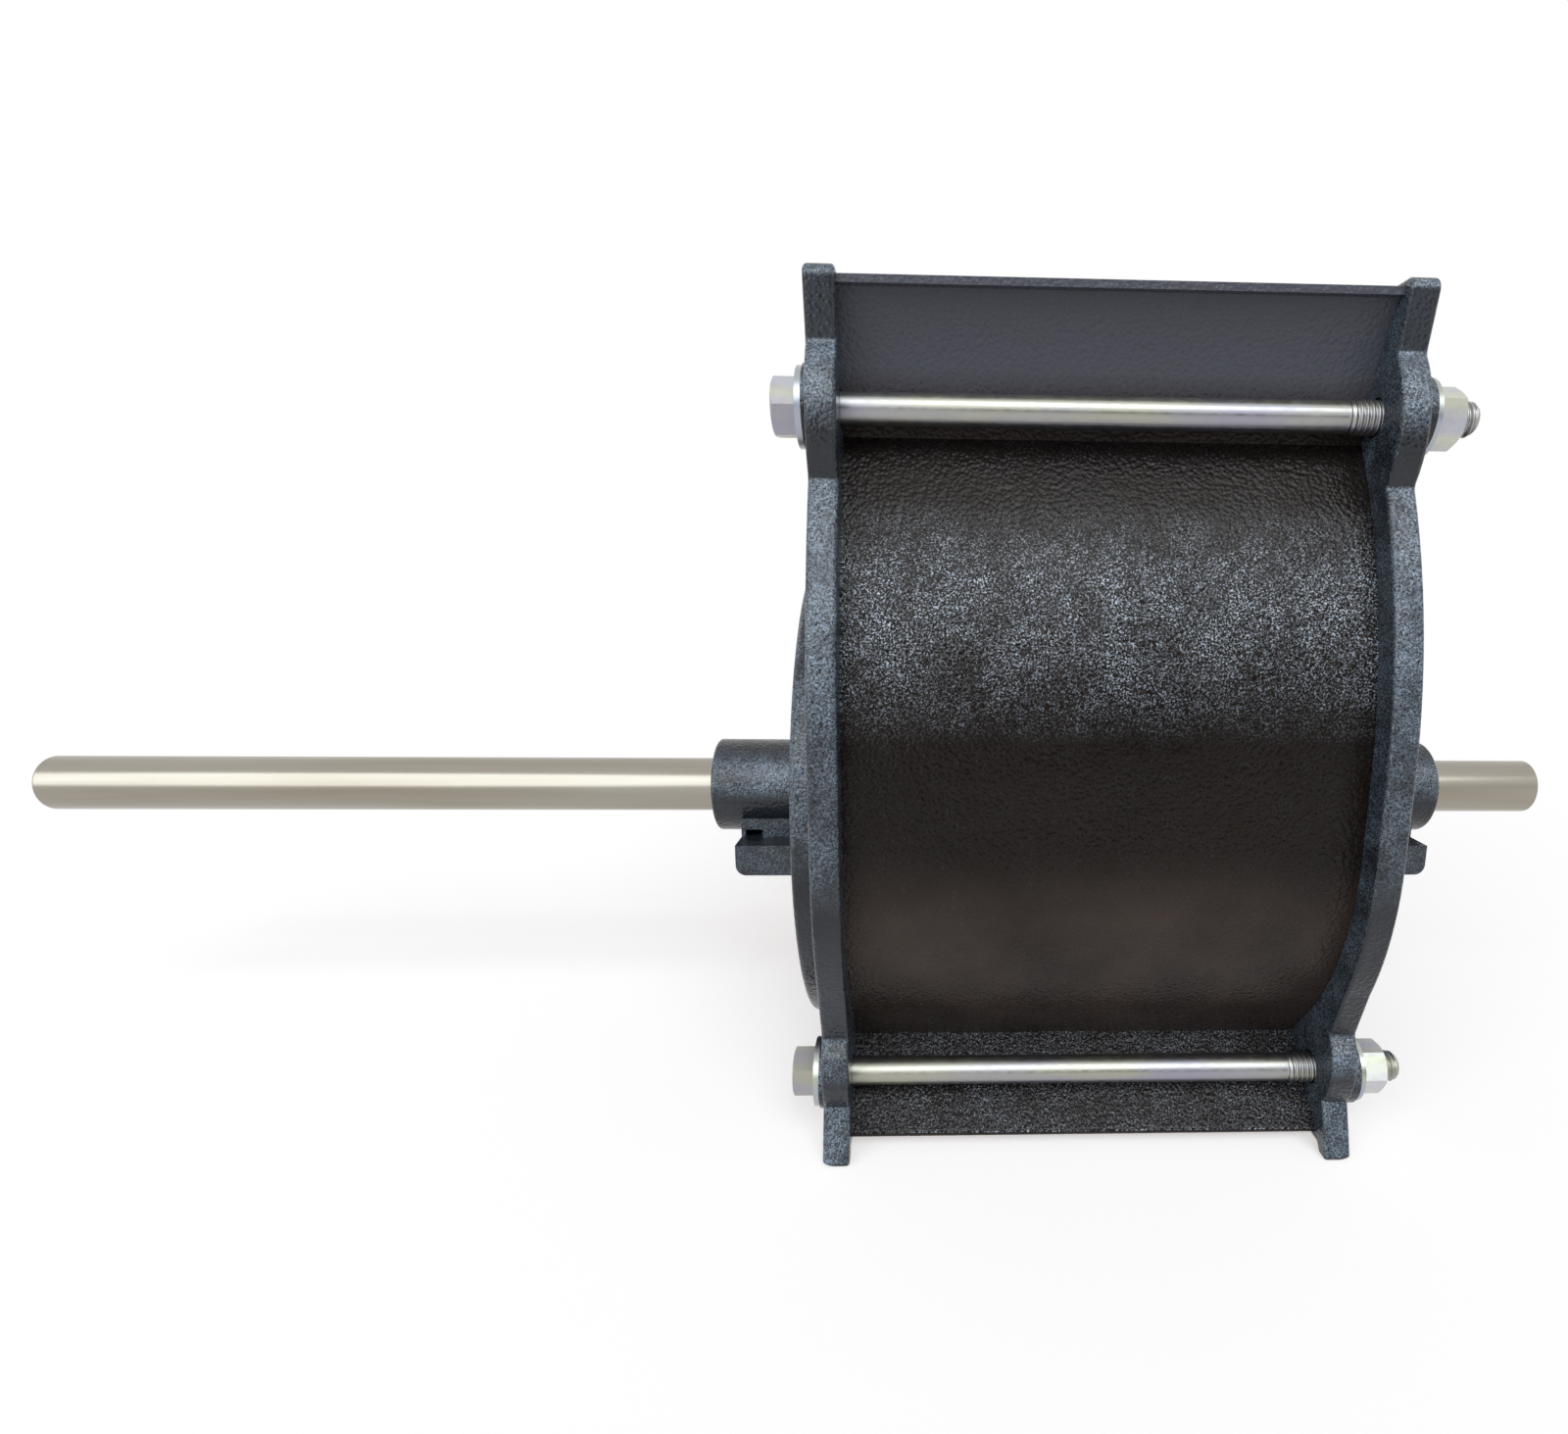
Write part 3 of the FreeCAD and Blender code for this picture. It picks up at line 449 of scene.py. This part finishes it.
def cut_blank(name, node, x_cut, y, z):
    """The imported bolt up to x_cut, closed there."""
    def turn(corner):
        return math.atan2(corner.co.z - z, corner.co.y - y)

    blank = bmesh.new()
    blank.from_mesh(NODES[node].data)
    parts = list(blank.verts) + list(blank.edges) + list(blank.faces)
    bmesh.ops.bisect_plane(blank, geom=parts, plane_co=(x_cut, 0, 0), plane_no=(1, 0, 0), clear_outer=True)
    bmesh.ops.remove_doubles(blank, verts=rim_of(blank, x_cut), dist=RIM_MERGE)
    blank.faces.new(sorted(rim_of(blank, x_cut), key=turn))
    data = bpy.data.meshes.new(name)
    blank.to_mesh(data)
    blank.free()
    return data


def link_object(name, data, material):
    made = bpy.data.objects.new(name, data)
    bpy.context.scene.collection.objects.link(made)
    data.materials.clear()
    data.materials.append(material)
    return made


def threaded_bolt(node):
    """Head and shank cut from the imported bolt, with a real thread added."""
    name = node.lower()
    low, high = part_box(node)
    x_thread = high.x - THREAD_LENGTH
    # the head is the widest part, so the middle of the bolt's box is its axis
    y = (low.y + high.y) / 2.0
    z = (low.z + high.z) / 2.0
    blank = cut_blank(name + "_blank", node, x_thread, y, z)
    body = link_object(name + "_head_and_shank", blank, MATERIALS["zinc_plate"])
    screw = thread_mesh(name + "_thread", x_thread, high.x, y, z)
    thread = link_object(name + "_thread", screw, MATERIALS["zinc_plate"])
    for piece in (body, thread):
        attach(piece, "housing")
    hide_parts(node)


# ------------------------------------------------------------ floor, lights
FLOOR_COLOUR = (0.82, 0.82, 0.82)
FLOOR_GLOW = 0.53                        # seen on top of the lit floor: makes it white, keeps the shadow
FLOOR_GLOW_TINT = (1.0, 0.95, 0.93)
FLOOR_HALF = 30.0

WORLD_COLOUR = (0.8, 0.8, 0.8)
WORLD_LIGHT = 0.28

SKY_TINT = (0.88, 0.95, 1.0)
SUNS = (                                 # name, strength, direction towards it, width in degrees
    ("right", 1.15, (0.180, -0.723, 0.667), 36.0),
    ("left", 1.20, (-0.500, -0.770, 0.400), 50.0),
    ("glint", 0.10, (0.150, -0.740, 0.655), 3.0),
)

FLAG_X = (-0.10, 0.80)
FLAG_Y = -1.30
FLAG_HEIGHT = 0.40
FLAG_DARK = (0.004, 0.004, 0.004)
FLAG_LIGHT = (0.008, 0.008, 0.008)
FLAG_NOISE = (3.0, 3.0)


def sheet(name, corners, material):
    """Flat piece of the studio with four corners."""
    data = bpy.data.meshes.new(name)
    data.from_pydata(corners, [], [(0, 1, 2, 3)])
    return link_object(name, data, material)


def light_source(tree, kind, colour, strength):
    """Emission or Background node."""
    made = tree.nodes.new(kind)
    made.inputs["Color"].default_value = (*colour, 1.0)
    made.inputs["Strength"].default_value = strength
    return made.outputs[0]


def by_the_eye(tree, unseen, seen):
    """One shader for what the camera, gloss and glass see, and another for the light on the object."""
    path = tree.nodes.new("ShaderNodeLightPath")
    looks = path.outputs["Is Camera Ray"]
    for name in ("Is Glossy Ray", "Is Transmission Ray"):
        either = tree.nodes.new("ShaderNodeMath")
        either.operation = "MAXIMUM"
        tree.links.new(looks, either.inputs[0])
        tree.links.new(path.outputs[name], either.inputs[1])
        looks = either.outputs["Value"]
    choose = tree.nodes.new("ShaderNodeMixShader")
    tree.links.new(looks, choose.inputs["Fac"])
    tree.links.new(unseen, choose.inputs[1])
    tree.links.new(seen, choose.inputs[2])
    return choose.outputs["Shader"]


def floor():
    """Pale matte floor that takes the object's shadow, with a plain glow for the eye."""
    material = bpy.data.materials.new("floor")
    material.use_nodes = True
    tree = material.node_tree
    tree.nodes.clear()
    matte = tree.nodes.new("ShaderNodeBsdfDiffuse")
    matte.inputs["Color"].default_value = (*FLOOR_COLOUR, 1.0)
    dark = light_source(tree, "ShaderNodeEmission", WHITE, 0.0)
    glow = light_source(tree, "ShaderNodeEmission", FLOOR_GLOW_TINT, FLOOR_GLOW)
    both = tree.nodes.new("ShaderNodeAddShader")
    out = tree.nodes.new("ShaderNodeOutputMaterial")
    tree.links.new(matte.outputs["BSDF"], both.inputs[0])
    tree.links.new(by_the_eye(tree, dark, glow), both.inputs[1])
    tree.links.new(both.outputs["Shader"], out.inputs["Surface"])
    half = FLOOR_HALF
    corners = [(-half, -half, 0.0), (half, -half, 0.0), (half, half, 0.0), (-half, half, 0.0)]
    sheet("floor", corners, material)


def world():
    """Soft even light, behind which the eye sees plain white."""
    made = bpy.data.worlds.new("world")
    made.use_nodes = True
    tree = made.node_tree
    tree.nodes.clear()
    lamp = light_source(tree, "ShaderNodeBackground", WORLD_COLOUR, WORLD_LIGHT)
    white = light_source(tree, "ShaderNodeBackground", WHITE, 1.0)
    out = tree.nodes.new("ShaderNodeOutputWorld")
    tree.links.new(by_the_eye(tree, lamp, white), out.inputs["Surface"])
    bpy.context.scene.world = made


def sun(name, strength, towards, width_degrees):
    """Wide disc of light, like a softbox far away."""
    data = bpy.data.lights.new(name, "SUN")
    data.energy = strength
    data.angle = math.radians(width_degrees)
    data.color = SKY_TINT
    made = bpy.data.objects.new(name, data)
    made.rotation_mode = "QUATERNION"
    made.rotation_quaternion = (-Vector(towards)).to_track_quat("-Z", "Y")
    bpy.context.scene.collection.objects.link(made)


def flag():
    """Black card behind the camera, which gives the gloss something dark to show."""
    left, right = FLAG_X
    corners = [(left, FLAG_Y, 0.0), (right, FLAG_Y, 0.0),
               (right, FLAG_Y, FLAG_HEIGHT), (left, FLAG_Y, FLAG_HEIGHT)]
    card = Material("flag", Specular_IOR_Level=0.0)
    card.set("Base Color", card.blend(card.noise(*FLAG_NOISE), FLAG_DARK, FLAG_LIGHT))
    made = sheet("flag", corners, card.material)
    made.visible_camera = False
    made.visible_diffuse = False
    made.visible_shadow = False


# ------------------------------------------------------------------- camera
# fitted to the two front tie bolts and the shaft; angles in degrees
IMAGE_WIDTH = 1600.0
IMAGE_HEIGHT = 1463.0
FOCAL_PIXELS = 900.0
PRINCIPAL_POINT = (984.4, 788.1)         # where the lens axis meets the image, in pixels
SENSOR_MM = 36.0
CAMERA_PLACE = Vector((44.5, -317.2, 170.0)) * MM
CAMERA_YAW = -2.1087                     # turned to the right of +Y
CAMERA_PITCH = -11.9921                  # tilted down
CAMERA_ROLL = 0.6102
NEAREST = 0.01
FARTHEST = 200.0


def camera():
    """Camera of the photograph, with the lens shifted to its principal point."""
    data = bpy.data.cameras.new("camera")
    data.sensor_width = SENSOR_MM
    data.lens = FOCAL_PIXELS / IMAGE_WIDTH * SENSOR_MM
    data.shift_x = (IMAGE_WIDTH / 2.0 - PRINCIPAL_POINT[0]) / IMAGE_WIDTH
    data.shift_y = (PRINCIPAL_POINT[1] - IMAGE_HEIGHT / 2.0) / IMAGE_WIDTH
    data.clip_start = NEAREST
    data.clip_end = FARTHEST
    made = bpy.data.objects.new("camera", data)
    turn = Matrix.Rotation(math.radians(CAMERA_YAW), 4, "Z")
    turn = turn @ Matrix.Rotation(math.radians(90.0 + CAMERA_PITCH), 4, "X")
    turn = turn @ Matrix.Rotation(math.radians(CAMERA_ROLL), 4, "Z")
    made.matrix_world = Matrix.Translation(CAMERA_PLACE) @ turn
    bpy.context.scene.collection.objects.link(made)
    bpy.context.scene.camera = made


finish_nodes()
for spot in SPOTS:
    threaded_bolt("TIE_BOLT_" + spot)
floor()
world()
for row in SUNS:
    sun(*row)
flag()
camera()
bpy.context.scene.view_settings.view_transform = "Standard"
